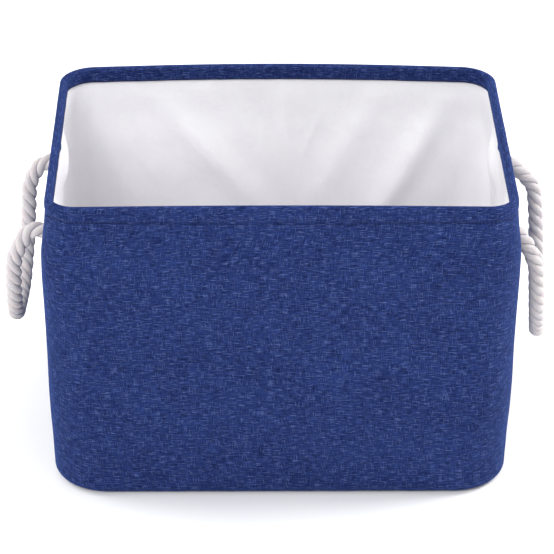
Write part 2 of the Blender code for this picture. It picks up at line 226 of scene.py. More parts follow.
# ------------------------------------------------------------------ materials
class Nodes:
    """A short way to write node trees."""

    def __init__(self, name):
        self.mat = bpy.data.materials.new(name)
        self.mat.use_nodes = True
        self.tree = self.mat.node_tree
        self.bsdf = self.tree.nodes["Principled BSDF"]

    def put(self, kind, **values):
        node = self.tree.nodes.new(kind)
        for key, value in values.items():
            setattr(node, key, value)
        return node

    def link(self, a, b):
        self.tree.links.new(a, b)

    def feed(self, socket, value):
        if hasattr(value, "is_output"):
            self.link(value, socket)
        else:
            socket.default_value = value

    def math(self, op, a, b=0.0, c=None, clamp=False):
        node = self.put("ShaderNodeMath", operation=op, use_clamp=clamp)
        self.feed(node.inputs[0], a)
        self.feed(node.inputs[1], b)
        if c is not None:
            self.feed(node.inputs[2], c)
        return node.outputs[0]

    def uv(self):
        node = self.put("ShaderNodeUVMap", uv_map="weave")
        split = self.put("ShaderNodeSeparateXYZ")
        self.link(node.outputs[0], split.inputs[0])
        return split.outputs[0], split.outputs[1]

    def position(self):
        return self.put("ShaderNodeTexCoord").outputs["Object"]

    def join(self, x, y, z=0.0):
        node = self.put("ShaderNodeCombineXYZ")
        for i, v in enumerate((x, y, z)):
            self.feed(node.inputs[i], v)
        return node.outputs[0]

    def noise(self, vector, scale, detail=2.0, rough=0.5, distortion=0.0):
        node = self.put("ShaderNodeTexNoise")
        self.link(vector, node.inputs["Vector"])
        node.inputs["Scale"].default_value = scale
        node.inputs["Detail"].default_value = detail
        node.inputs["Roughness"].default_value = rough
        node.inputs["Distortion"].default_value = distortion
        return node.outputs["Fac"]

    def band(self, value, lo, hi, out_lo=0.0, out_hi=1.0, smooth=True):
        node = self.put("ShaderNodeMapRange")
        node.interpolation_type = "SMOOTHSTEP" if smooth else "LINEAR"
        node.clamp = True if not smooth else node.clamp
        self.feed(node.inputs["Value"], value)
        node.inputs["From Min"].default_value = lo
        node.inputs["From Max"].default_value = hi
        node.inputs["To Min"].default_value = out_lo
        node.inputs["To Max"].default_value = out_hi
        return node.outputs["Result"]

    def mix(self, fac, a, b):
        node = self.put("ShaderNodeMix", data_type="RGBA")
        self.feed(node.inputs["Factor"], fac)
        self.feed(node.inputs["A"], a)
        self.feed(node.inputs["B"], b)
        return node.outputs["Result"]

    def bump(self, height, strength, distance, under=None):
        node = self.put("ShaderNodeBump")
        node.inputs["Strength"].default_value = strength
        node.inputs["Distance"].default_value = distance
        self.link(height, node.inputs["Height"])
        if under is not None:
            self.link(under, node.inputs["Normal"])
        return node.outputs["Normal"]


def srgb(r, g, b):
    def lin(c):
        c /= 255.0
        return c / 12.92 if c <= 0.04045 else ((c + 0.055) / 1.055) ** 2.4
    return (lin(r), lin(g), lin(b), 1.0)


def linen(name, wear=0.0):
    """Slubbed plain weave: each yarn has its own shade, with lighter thick
    places along the weft and fewer along the warp."""
    n = Nodes(name)
    u, v = n.uv()
    pitch_u, pitch_v = 0.00062, 0.00070
    cu, cv = n.math("DIVIDE", u, pitch_u), n.math("DIVIDE", v, pitch_v)
    # yarns wander a little
    drift = n.noise(n.join(n.math("MULTIPLY", u, 30.0), n.math("MULTIPLY", v, 30.0)), 1.0, 2.0)
    cu = n.math("ADD", cu, n.math("MULTIPLY", drift, 2.2))
    cv = n.math("ADD", cv, n.math("MULTIPLY", drift, 1.6))
    fu, fv = n.math("FRACT", cu), n.math("FRACT", cv)
    iu, iv = n.math("FLOOR", cu), n.math("FLOOR", cv)
    su = n.math("SINE", n.math("MULTIPLY", fu, math.pi))
    sv = n.math("SINE", n.math("MULTIPLY", fv, math.pi))
    odd = n.math("MODULO", n.math("ABSOLUTE", n.math("ADD", iu, iv)), 2.0)
    over = n.math("GREATER_THAN", odd, 0.5)
    warp_h = n.math("MULTIPLY", su, n.math("MULTIPLY_ADD", sv, 0.55, 0.45))
    weft_h = n.math("MULTIPLY", sv, n.math("MULTIPLY_ADD", su, 0.55, 0.45))
    weave = n.math("ADD", n.math("MULTIPLY", over, warp_h),
                   n.math("MULTIPLY", n.math("SUBTRACT", 1.0, over), weft_h))
    # shade of each weft yarn, changing slowly along it, and of each warp yarn
    weft_tone = n.noise(n.join(n.math("MULTIPLY", u, 95.0), n.math("MULTIPLY", iv, 3.7)), 1.0, 2.0, 0.6)
    warp_tone = n.noise(n.join(n.math("MULTIPLY", iu, 3.1), n.math("MULTIPLY", v, 80.0)), 1.0, 2.0, 0.6)
    weft_slub = n.band(n.noise(n.join(n.math("MULTIPLY", u, 120.0), n.math("MULTIPLY", v, 1500.0)), 1.0, 2.0, 0.55),
                       0.56, 0.68)
    warp_slub = n.band(n.noise(n.join(n.math("MULTIPLY", u, 1150.0), n.math("MULTIPLY", v, 130.0)), 1.0, 2.0, 0.55),
                       0.57, 0.70)
    patch = n.noise(n.join(n.math("MULTIPLY", u, 22.0), n.math("MULTIPLY", v, 22.0)), 1.0, 3.0, 0.6)
    tone = n.math("ADD", n.math("MULTIPLY", weft_tone, 0.62), n.math("MULTIPLY", warp_tone, 0.38))
    tone = n.math("ADD", tone, n.math("MULTIPLY", n.math("SUBTRACT", patch, 0.5), 0.34))
    # runs of thicker and thinner yarn, seen as broken lines
    weft_run = n.noise(n.join(n.math("MULTIPLY", u, 100.0), n.math("MULTIPLY", v, 1250.0)), 1.0, 2.0, 0.6)
    warp_run = n.noise(n.join(n.math("MULTIPLY", u, 1250.0), n.math("MULTIPLY", v, 100.0)), 1.0, 2.0, 0.6)
    tone = n.math("ADD", tone, n.math("MULTIPLY", n.math("SUBTRACT", weft_run, 0.5), 1.45))
    tone = n.math("ADD", tone, n.math("MULTIPLY", n.math("SUBTRACT", warp_run, 0.5), 0.95))
    colour = n.mix(n.band(tone, 0.22, 0.80, smooth=False), LINEN_DARK, LINEN_MID)
    colour = n.mix(n.math("MULTIPLY", weft_slub, 0.60), colour, LINEN_LIGHT)
    colour = n.mix(n.math("MULTIPLY", warp_slub, 0.38), colour, LINEN_LIGHT)
    # painted shade in the hollows between the yarns
    colour = n.mix(n.band(weave, 0.0, 0.7, 0.42, 0.0), colour, LINEN_PAINTED_SHADE)
    # and painted shade along the hem's row of stitches, where the cloth is pulled in
    place = n.put("ShaderNodeSeparateXYZ")
    n.feed(place.inputs[0], n.position())
    off = n.math("ABSOLUTE", n.math("SUBTRACT", place.outputs[2], STITCH_Z))
    colour = n.mix(n.band(off, 0.0003, 0.0013, 0.38, 0.0), colour, LINEN_PAINTED_SHADE)
    n.link(colour, n.bsdf.inputs["Base Color"])
    height = n.math("ADD", weave, n.math("MULTIPLY", n.math("ADD", weft_slub, warp_slub), 0.8))
    fine = n.bump(height, 0.55, 0.00016)
    fuzz = n.noise(n.position(), 2600.0, 2.0)
    n.link(n.bump(fuzz, 0.25, 0.00008, fine), n.bsdf.inputs["Normal"])
    n.link(n.band(weave, 0.0, 1.0, 0.96, 0.84), n.bsdf.inputs["Roughness"])
    n.bsdf.inputs["Specular IOR Level"].default_value = 0.12
    n.bsdf.inputs["Sheen Weight"].default_value = 0.30
    n.bsdf.inputs["Sheen Roughness"].default_value = 0.30
    n.bsdf.inputs["Sheen Tint"].default_value = srgb(70, 120, 225)
    return n.mat


LINEN_MID = srgb(37, 56, 114)
LINEN_DARK = srgb(8, 22, 65)
LINEN_LIGHT = srgb(98, 116, 172)
# painted shade colour, for the hollows between the yarns and the hem's stitch line
LINEN_PAINTED_SHADE = srgb(9, 16, 44)


def coated(name):
    """Thin white cloth with a film on it: fine crinkle over a faint weave."""
    n = Nodes(name)
    u, v = n.uv()
    p = n.position()
    big = n.noise(p, 9.0, 3.0, 0.55)
    crinkle = n.noise(p, 85.0, 4.0, 0.62, 0.6)
    ridge = n.math("ABSOLUTE", n.math("SUBTRACT", n.noise(p, 34.0, 3.0, 0.6, 1.2), 0.5))
    ridge = n.band(ridge, 0.0, 0.045, 1.0, 0.0)
    su = n.math("SINE", n.math("MULTIPLY", u, 2 * math.pi / 0.00072))
    sv = n.math("SINE", n.math("MULTIPLY", v, 2 * math.pi / 0.00072))
    weave = n.math("MULTIPLY", su, sv)
    colour = n.mix(n.band(big, 0.35, 0.65), srgb(234, 233, 236), srgb(243, 242, 245))
    # painted shade along the crinkle ridges of the film
    colour = n.mix(n.math("MULTIPLY", ridge, 0.05), colour, srgb(205, 203, 212))
    # painted shade: the liner is drawn darker towards the bottom of the bin, below 0.25 m
    height = n.put("ShaderNodeSeparateXYZ")
    n.link(p, height.inputs[0])
    colour = n.mix(n.band(height.outputs[2], 0.10, 0.25, 0.62, 0.0), colour, srgb(192, 189, 194))
    n.link(colour, n.bsdf.inputs["Base Color"])
    b = n.bump(crinkle, 0.55, 0.0010)
    b = n.bump(ridge, 0.18, 0.00025, b)
    b = n.bump(weave, 0.22, 0.00006, b)
    n.link(b, n.bsdf.inputs["Normal"])
    n.link(n.band(crinkle, 0.3, 0.7, 0.36, 0.50), n.bsdf.inputs["Roughness"])
    n.bsdf.inputs["Specular IOR Level"].default_value = 0.45
    n.bsdf.inputs["Coat Weight"].default_value = 0.12
    n.bsdf.inputs["Coat Roughness"].default_value = 0.38
    n.bsdf.inputs["Subsurface Weight"].default_value = 0.10
    n.bsdf.inputs["Subsurface Scale"].default_value = 0.003
    n.bsdf.inputs["Subsurface Radius"].default_value = (1.0, 0.9, 0.95)
    return n.mat


def cotton(name):
    """Twisted cotton strand: v runs round the strand, u along it."""
    n = Nodes(name)
    u, v = n.uv()
    p = n.position()
    lines = n.math("SINE", n.math("MULTIPLY", n.math("ADD", n.math("MULTIPLY", v, 46.0),
                                                     n.math("MULTIPLY", u, 46.0 * 26.0)), 2 * math.pi))
    streak = n.noise(n.join(n.math("MULTIPLY", u, 130.0), n.math("MULTIPLY", n.math("ADD", v, n.math("MULTIPLY", u, 26.0)), 60.0)), 1.0, 3.0, 0.65)
    fibre = n.noise(p, 1900.0, 3.0, 0.7)
    soft = n.noise(p, 60.0, 3.0, 0.5)
    colour = n.mix(n.band(streak, 0.30, 0.70), srgb(180, 174, 177), srgb(212, 207, 209))
    colour = n.mix(n.band(soft, 0.35, 0.65, 0.0, 0.35), colour, srgb(206, 197, 191))
    colour = n.mix(n.band(fibre, 0.30, 0.50, 0.28, 0.0), colour, srgb(176, 168, 170))
    # painted shade deep between the strands: the cotton is drawn greyer and a little blue there
    inner = n.band(n.math("ABSOLUTE", n.math("SUBTRACT", v, 0.5)), 0.16, 0.33, 1.0, 0.0)
    colour = n.mix(n.math("MULTIPLY", inner, 0.9), colour, srgb(108, 108, 134))
    n.link(colour, n.bsdf.inputs["Base Color"])
    b = n.bump(lines, 0.30, 0.00014)
    b = n.bump(streak, 0.50, 0.00045, b)
    b = n.bump(fibre, 0.40, 0.00016, b)
    n.link(b, n.bsdf.inputs["Normal"])
    n.link(n.band(streak, 0.3, 0.7, 0.95, 0.82), n.bsdf.inputs["Roughness"])
    n.bsdf.inputs["Specular IOR Level"].default_value = 0.25
    n.bsdf.inputs["Sheen Weight"].default_value = 0.35
    n.bsdf.inputs["Sheen Roughness"].default_value = 0.6
    n.bsdf.inputs["Subsurface Weight"].default_value = 0.12
    n.bsdf.inputs["Subsurface Scale"].default_value = 0.003
    return n.mat


def sewing(name, colour_a, colour_b):
    n = Nodes(name)
    u, v = n.uv()
    twist = n.math("SINE", n.math("MULTIPLY", n.math("ADD", n.math("MULTIPLY", u, 1600.0), v), 2 * math.pi))
    fibre = n.noise(n.position(), 3500.0, 2.0)
    n.link(n.mix(n.band(fibre, 0.3, 0.7), colour_a, colour_b), n.bsdf.inputs["Base Color"])
    n.link(n.bump(twist, 0.5, 0.00010, n.bump(fibre, 0.3, 0.00005)), n.bsdf.inputs["Normal"])
    n.link(n.band(twist, -1.0, 1.0, 0.78, 0.60), n.bsdf.inputs["Roughness"])
    n.bsdf.inputs["Sheen Weight"].default_value = 0.06
    return n.mat


def drawn_steel(name, tint):
    """Bright wire with draw lines and a few dull spots."""
    n = Nodes(name)
    p = n.position()
    lines = n.noise(p, 900.0, 4.0, 0.6)
    spots = n.band(n.noise(p, 120.0, 3.0, 0.6), 0.55, 0.75)
    n.link(n.mix(n.math("MULTIPLY", spots, 0.6), tint, srgb(120, 116, 112)), n.bsdf.inputs["Base Color"])
    n.bsdf.inputs["Metallic"].default_value = 1.0
    rough = n.math("ADD", n.band(lines, 0.3, 0.7, 0.24, 0.40), n.math("MULTIPLY", spots, 0.2))
    n.link(rough, n.bsdf.inputs["Roughness"])
    n.link(n.bump(lines, 0.2, 0.00005), n.bsdf.inputs["Normal"])
    return n.mat


def canvas(name):
    """Plain grey-white cotton canvas."""
    n = Nodes(name)
    p = n.position()
    split = n.put("ShaderNodeSeparateXYZ")
    n.link(p, split.inputs[0])
    a = n.math("SINE", n.math("MULTIPLY", split.outputs[1], 2 * math.pi / 0.0011))
    b = n.math("SINE", n.math("MULTIPLY", split.outputs[2], 2 * math.pi / 0.0011))
    weave = n.math("MULTIPLY", a, b)
    tone = n.noise(p, 240.0, 3.0, 0.6)
    n.link(n.mix(n.band(tone, 0.3, 0.7), srgb(176, 174, 172), srgb(204, 202, 200)), n.bsdf.inputs["Base Color"])
    n.link(n.bump(weave, 0.5, 0.00018), n.bsdf.inputs["Normal"])
    n.link(n.band(tone, 0.3, 0.7, 0.88, 0.96), n.bsdf.inputs["Roughness"])
    return n.mat


LINEN = linen("linen_blue")
LINER = coated("liner_coated")
COTTON = cotton("cotton_rope")
THREAD = sewing("thread_blue", srgb(16, 27, 72), srgb(30, 44, 96))


# ------------------------------------------------------------------ the ropes
WALL_X = RIM_X + float(hermite(BULGE, HOLE_Z / HEIGHT))
HINGE_X = WALL_X + HINGE_OUT


def loop_line(side):
    """Centreline of the loop from the rear hinge point to the front one."""
    drop = LEFT_DROP if side == "left" else RIGHT_DROP
    t = math.pi / 2 - math.pi * np.arange(721) / 720
    s, c = np.sin(t), np.maximum(np.cos(t), 0.0)
    y = HOLE_Y * np.sign(s) * np.abs(s) ** (2 / LOOP_SHAPE)
    d = drop * c ** (2 / LOOP_SHAPE)
    quick_out, settle = FLARE[side]
    out = quick_out * (1 - np.exp(-d / settle)) + LEAN[side] * d
    out = out + TWIST[side] * (y / HOLE_Y) * (1 - np.exp(-d / 0.015))
    out = out - REAR_IN[side] * np.maximum(0.0, y / HOLE_Y) * (1 - np.exp(-d / 0.015))
    out = out * (REACH[side] - HINGE_X) / out.max()
    sign = -1 if side == "left" else 1
    return np.stack([sign * (HINGE_X + out), y, HOLE_Z - d], 1), d


def spaced(pts, gap):
    length = np.concatenate([[0], np.cumsum(np.linalg.norm(np.diff(pts, axis=0), axis=1))])
    n = max(int(round(length[-1] / gap)), 2)
    want = np.linspace(0, length[-1], n + 1)
    return np.stack([np.interp(want, length, pts[:, i]) for i in range(3)], 1), length[-1]


def rope_line(side):
    """The whole rope: from the rear knot out through the wall, round the
    loop and back in to the front knot."""
    line, d = loop_line(side)
    sign = -1 if side == "left" else 1

    def lead(y, route):
        return np.array([[sign * (WALL_X + out), y, HOLE_Z + lift] for out, lift in route])

    # how each end leaves its hole: (out from the wall, height from the hole)
    perky = ((-0.0060, 0.0002), (-0.0010, 0.0006), (0.0045, 0.0019), (0.0105, 0.0018), (0.0162, -0.0022))
    level = ((-0.0060, 0.0002), (-0.0010, 0.0002), (0.0045, -0.0004), (0.0105, -0.0028), (0.0160, -0.0082))
    easy = ((-0.0060, 0.0002), (-0.0010, 0.0000), (0.0045, -0.0014), (0.0105, -0.0044), (0.0160, -0.0100))
    limp = ((-0.0060, 0.0006), (-0.0010, -0.0004), (0.0040, -0.0048), (0.0088, -0.0110), (0.0132, -0.0184))
    rear, front = (level, perky) if side == "left" else (easy, limp)
    keep = d > np.where((side == "right") & (line[:, 1] < 0), 0.036, 0.025)
    body = line[keep]
    rough = np.vstack([lead(HOLE_Y, rear), body[::24], body[-1:], lead(-HOLE_Y, front)[::-1]])
    # smooth curve through the route, Catmull-Rom with centripetal spacing
    out = []
    pts = np.vstack([2 * rough[0] - rough[1], rough, 2 * rough[-1] - rough[-2]])
    for i in range(1, len(pts) - 2):
        p0, p1, p2, p3 = pts[i - 1:i + 3]
        k = [0.0]
        for a, b in ((p0, p1), (p1, p2), (p2, p3)):
            k.append(k[-1] + max(np.linalg.norm(b - a), 1e-6) ** 0.5)
        for t in np.linspace(k[1], k[2], 12, endpoint=False):
            a1 = (k[1] - t) / (k[1] - k[0]) * p0 + (t - k[0]) / (k[1] - k[0]) * p1
            a2 = (k[2] - t) / (k[2] - k[1]) * p1 + (t - k[1]) / (k[2] - k[1]) * p2
            a3 = (k[3] - t) / (k[3] - k[2]) * p2 + (t - k[2]) / (k[3] - k[2]) * p3
            b1 = (k[2] - t) / (k[2] - k[0]) * a1 + (t - k[0]) / (k[2] - k[0]) * a2
            b2 = (k[3] - t) / (k[3] - k[1]) * a2 + (t - k[1]) / (k[3] - k[1]) * a3
            out.append((k[2] - t) / (k[2] - k[1]) * b1 + (t - k[1]) / (k[2] - k[1]) * b2)
    out.append(pts[-2])
    out = np.array(out)
    out, _ = spaced(out, 0.0012)
    for _ in range(10):
        out[1:-1] = 0.5 * out[1:-1] + 0.25 * (out[:-2] + out[2:])
    return spaced(out, 0.0012)


def frames(line):
    """Tangents and two sideways directions that don't spin along the line."""
    t = np.gradient(line, axis=0)
    t /= np.linalg.norm(t, axis=1)[:, None]
    n = np.empty_like(t)
    first = np.cross(t[0], [0.0, 0.0, 1.0])
    n[0] = first / np.linalg.norm(first)
    for i in range(1, len(t)):
        v = n[i - 1] - t[i] * np.dot(n[i - 1], t[i])
        n[i] = v / np.linalg.norm(v)
    return t, n, np.cross(t, n)


LAY = 0.033            # one turn of a strand
STRAND_R, STRAND_OUT = 0.00355, 0.00362
YARNS = 9


def rope_mesh(name, line, phase):
    """Three S-laid strands of twisted yarns on one centreline."""
    t, n, b = frames(line)
    length = np.concatenate([[0], np.cumsum(np.linalg.norm(np.diff(line, axis=0), axis=1))])
    sides = 36
    w = 2 * math.pi * np.arange(sides) / sides
    verts, faces, uvs = [], [], []
    base = 0
    for strand in range(3):
        turn = phase + strand * 2 * math.pi / 3 - 2 * math.pi * length / LAY
        radial = np.cos(turn)[:, None] * n + np.sin(turn)[:, None] * b
        # strands are never quite even
        wob = np.array([soft_noise((l * 1.0, strand * 0.7, phase), 0.012, 4.2) for l in length])
        wob2 = np.array([soft_noise((l * 1.0, strand * 0.9, phase), 0.030, 9.7) for l in length])
        centre = line + radial * (STRAND_OUT * (1 + 0.08 * wob))[:, None]
        st = np.gradient(centre, axis=0)
        st /= np.linalg.norm(st, axis=1)[:, None]
        e1 = radial - st * np.sum(radial * st, 1)[:, None]
        e1 /= np.linalg.norm(e1, axis=1)[:, None]
        e2 = np.cross(st, e1)
        size = STRAND_R * (1 + 0.07 * wob2)
        yarn = np.cos(YARNS * (w[None, :] - 190.0 * length[:, None]))
        tuft = 0.012 * np.cos(23 * w[None, :] + 640.0 * length[:, None])
        r = size[:, None] * (1 + 0.026 * yarn + tuft)
        # flattened where the strands press on each other
        flat = 1 - 0.07 * np.maximum(0, np.cos(w - math.pi))[None, :]
        pts = (centre[:, None, :] + (r * flat * np.cos(w))[:, :, None] * e1[:, None, :]
               + (r * np.sin(w))[:, :, None] * e2[:, None, :])
        rows = len(line)
        verts.append(pts.reshape(-1, 3))
        i, k = np.meshgrid(np.arange(rows - 1), np.arange(sides), indexing="ij")
        k2 = (k + 1) % sides
        q = np.stack([i * sides + k, i * sides + k2, (i + 1) * sides + k2, (i + 1) * sides + k], -1).reshape(-1, 4)
        faces += (q + base).tolist()
        uu = np.repeat(length[:, None], sides, 1)
        vv = np.repeat((np.arange(sides) / sides)[None, :], rows, 0)
        uv = np.stack([uu.reshape(-1), vv.reshape(-1)], 1)
        quv = uv[q.reshape(-1)].reshape(-1, 4, 2)
        wrap = k2.reshape(-1) == 0
        quv[wrap, 1, 1] = 1.0
        quv[wrap, 2, 1] = 1.0
        uvs.append(quv.reshape(-1, 2))
        faces.append([base + j for j in range(sides)][::-1])
        faces.append([base + (rows - 1) * sides + j for j in range(sides)])
        uvs.append(np.zeros((2 * sides, 2)))
        base += rows * sides
    mesh = bpy.data.meshes.new(name)
    mesh.from_pydata(np.vstack(verts).tolist(), [], faces)
    layer = mesh.uv_layers.new(name="weave")
    layer.data.foreach_set("uv", np.vstack(uvs).reshape(-1).astype(np.float32))
    bm = bmesh.new()
    bm.from_mesh(mesh)
    bmesh.ops.recalc_face_normals(bm, faces=bm.faces)
    bm.to_mesh(mesh)
    bm.free()
    mesh.shade_smooth()
    mesh.materials.append(COTTON)
    obj = bpy.data.objects.new(name, mesh)
    bpy.context.scene.collection.objects.link(obj)
    return obj


def tube_mesh(name, line, radius, sides, mat, squash=None):
    """Plain closed tube along a line, for thread and knots."""
    t, n, b = frames(line)
    w = 2 * math.pi * np.arange(sides) / sides
    rows = len(line)
    rad = np.broadcast_to(np.asarray(radius, float), (rows,))
    pts = line[:, None, :] + rad[:, None, None] * (np.cos(w)[None, :, None] * n[:, None, :]
                                                   + np.sin(w)[None, :, None] * b[:, None, :])
    if squash is not None:
        pts = squash(pts)
    return pts


def pieces_mesh(name, tubes, mat, closed_ends=True):
    """Many small tubes as one mesh. tubes is a list of rows x sides x 3."""
    verts, faces, uvs = [], [], []
    base = 0
    for pts in tubes:
        rows, sides = pts.shape[:2]
        verts.append(pts.reshape(-1, 3))
        run = np.concatenate([[0], np.cumsum(np.linalg.norm(np.diff(pts.mean(1), axis=0), axis=1))])
        for i in range(rows - 1):
            for k in range(sides):
                k2 = (k + 1) % sides
                faces.append((base + i * sides + k, base + i * sides + k2,
                              base + (i + 1) * sides + k2, base + (i + 1) * sides + k))
                uvs += [(run[i], k / sides), (run[i], (k + 1) / sides),
                        (run[i + 1], (k + 1) / sides), (run[i + 1], k / sides)]
        faces.append(tuple(base + j for j in range(sides))[::-1])
        faces.append(tuple(base + (rows - 1) * sides + j for j in range(sides)))
        uvs += [(0.0, 0.0)] * (2 * sides)
        base += rows * sides
    mesh = bpy.data.meshes.new(name)
    mesh.from_pydata(np.vstack(verts).tolist(), [], faces)
    layer = mesh.uv_layers.new(name="weave")
    layer.data.foreach_set("uv", np.array(uvs, np.float32).reshape(-1))
    bm = bmesh.new()
    bm.from_mesh(mesh)
    bmesh.ops.recalc_face_normals(bm, faces=bm.faces)
    bm.to_mesh(mesh)
    bm.free()
    mesh.shade_smooth()
    mesh.materials.append(mat)
    obj = bpy.data.objects.new(name, mesh)
    bpy.context.scene.collection.objects.link(obj)
    return obj


def knot(name, side, y):
    """Overhand knot pressed flat behind the wall."""
    sign = -1 if side == "left" else 1
    t = np.linspace(0.10, 2 * math.pi - 0.10, 90)
    # trefoil turned to lie flat against the wall
    ky = 0.0032 * (np.sin(t) + 2 * np.sin(2 * t))
    kz = 0.0032 * (np.cos(t) - 2 * np.cos(2 * t))
    kx = 0.0022 * (-np.sin(3 * t))
    mid = WALL_X - 0.0070
    line = np.stack([sign * (mid + kx), y + ky, HOLE_Z + kz], 1)
    line, _ = spaced(line, 0.0016)
    tn, n, b = frames(line)
    length = np.concatenate([[0], np.cumsum(np.linalg.norm(np.diff(line, axis=0), axis=1))])
    tubes = []
    for strand in range(3):
        turn = strand * 2 * math.pi / 3 - 2 * math.pi * length / 0.020
        c = line + 0.0016 * (np.cos(turn)[:, None] * n + np.sin(turn)[:, None] * b)
        pts = tube_mesh("", c, 0.0021, 12, COTTON)
        pts[..., 0] = sign * (mid + np.clip((np.abs(pts[..., 0]) - mid), -0.0034, 0.0034))
        tubes.append(pts)
    return pieces_mesh(name, tubes, COTTON)


ropes = {}
for side in ("left", "right"):
    sign = -1 if side == "left" else 1
    line, length = rope_line(side)
    rope = rope_mesh(side + "_rope", line, 0.6 if side == "left" else 2.1)
    for end, y in (("front", -HOLE_Y), ("rear", HOLE_Y)):
        k = knot(side + "_rope_knot_" + end, side, y)
        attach(k, "bin_body")
        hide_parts(side + "_rope_end_" + end)
    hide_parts(side + "_handle_loop")
    a, b = line[0], line[-1]
    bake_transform(rope)
    ropes[side] = (rope, line, length)


# ------------------------------------------------------------------ the shell
def profile_shell():
    """(inset, height) stations from the base seam up over the wire and down
    inside the hem, with their run along the cloth."""
    pts = [(BASE_INSET, 0.0), (0.026, 0.0)]
    for w in np.linspace(270, 180, 15):
        pts.append((BASE_R + BASE_R * math.cos(math.radians(w)), BASE_R + BASE_R * math.sin(math.radians(w))))
    pts += [(0.0, z) for z in np.linspace(BASE_R, 0.2560, 80)[1:]]
    pts += [(0.0, z) for z in np.linspace(0.2560, HEIGHT - HEM_W / 2, 22)[1:]]
    c = HEM_W / 2
    for w in np.linspace(180, 0, 15)[1:]:
        pts.append((c + c * math.cos(math.radians(w)), HEIGHT - c + c * math.sin(math.radians(w))))
    pts += [(HEM_W, z) for z in np.linspace(HEIGHT - c, HEIGHT - HEM_DEPTH, 9)[1:]]
    pts = np.array(pts)
    run = np.concatenate([[0], np.cumsum(np.linalg.norm(np.diff(pts, axis=0), axis=1))])
    return pts, run


def shell_panel(front):
    prof, run = profile_shell()
    s = np.linspace(0, 1, 250)
    near = np.array([0.0004, 0.0010, 0.0018, 0.0027, 0.0040])
    s = np.unique(np.concatenate([s, near, 1 - near]))
    rows = []
    uv = []
    seed = 1.7 if front else 6.3
    for j, (inset, z) in enumerate(prof):
        p, n, total = ring(s, z, inset, front)
        edge = np.minimum(s, 1 - s) * total
        d = np.zeros(len(s))          # outward, metres
        wall = step(0.02, 0.06, z) * (1 - step(0.2575, 0.2640, z)) if inset < 1e-6 else 0.0
        hem_out = inset < HEM_W * 0.5 and z > 0.258
        if wall:
            # slack in the filled cloth
            lo = np.array([soft_noise(q, 0.085, seed) for q in p])
            me = np.array([soft_noise(q, 0.034, seed + 2.0) for q in p])
            d += wall * (0.0011 * lo + 0.00032 * me)
        if hem_out:
            # the hem puffs between the fold and the stitch line, which pinches it
            puff = math.exp(-((z - 0.2735) / 0.0045) ** 2)
            pinch = math.exp(-((z - STITCH_Z) / 0.0011) ** 2)
            wob = np.array([soft_noise(q, 0.016, seed + 5.0) for q in p])
            d += 0.00035 * puff * (1 + 0.8 * wob) - 0.00065 * pinch
        if inset >= HEM_W * 0.5:
            # inner leg of the hem: slight puckers, and the side seam's lump
            wob = np.array([soft_noise(q, 0.013, seed + 8.0) for q in p])
            low = 1 - step(HEIGHT - HEM_DEPTH, HEIGHT - 0.003, z)
            d += -0.0005 * low * wob
            d += -0.0011 * np.exp(-(edge / 0.0055) ** 2) * (0.4 + 0.6 * low)
        if inset < 1e-6 or z < BASE_R:
            # the side seams draw the cloth in
            d += -0.0011 * np.exp(-(edge / 0.0021) ** 2)
            d += -0.0004 * np.exp(-(edge / 0.0080) ** 2)
        q = p + n * d[:, None]
        q[0, 1] += -0.00001 if front else 0.00001
        q[-1, 1] += -0.00001 if front else 0.00001
        rows.append(q)
        uv.append(np.stack([s * total * 1.0 + (0.0 if front else 0.7), np.full(len(s), run[j])], 1))
    obj = grid_mesh("shell_front_cloth" if front else "shell_back_cloth", np.array(rows), np.array(uv))
    solidify(obj, CLOTH)
    obj.data.materials.append(LINEN)
    return obj


def hole_tool(side, y):
    sign = -1 if side == "left" else 1
    bm = bmesh.new()
    bmesh.ops.create_cone(bm, cap_ends=True, segments=40, radius1=0.0071, radius2=0.0071, depth=0.014)
    mesh = bpy.data.meshes.new("hole")
    bm.to_mesh(mesh)
    bm.free()
    obj = bpy.data.objects.new("hole_tool_" + side + ("_f" if y < 0 else "_r"), mesh)
    bpy.context.scene.collection.objects.link(obj)
    obj.matrix_world = Matrix.Translation((sign * WALL_X, y, HOLE_Z)) @ Matrix.Rotation(math.pi / 2, 4, "Y")
    return obj


shells = []
for front in (True, False):
    shell = shell_panel(front)
    tools = []
    for side in ("left", "right"):
        tool = hole_tool(side, -HOLE_Y if front else HOLE_Y)
        tools.append(tool)
        m = shell.modifiers.new("hole", "BOOLEAN")
        m.operation = "DIFFERENCE"
        m.solver = "EXACT"
        m.object = tool
    bake(shell)
    for tool in tools:
        bpy.data.objects.remove(tool, do_unlink=True)
    shell.data.shade_smooth()
    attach(shell, "bin_body")
    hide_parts("shell_front" if front else "shell_back")
    shells.append(shell)


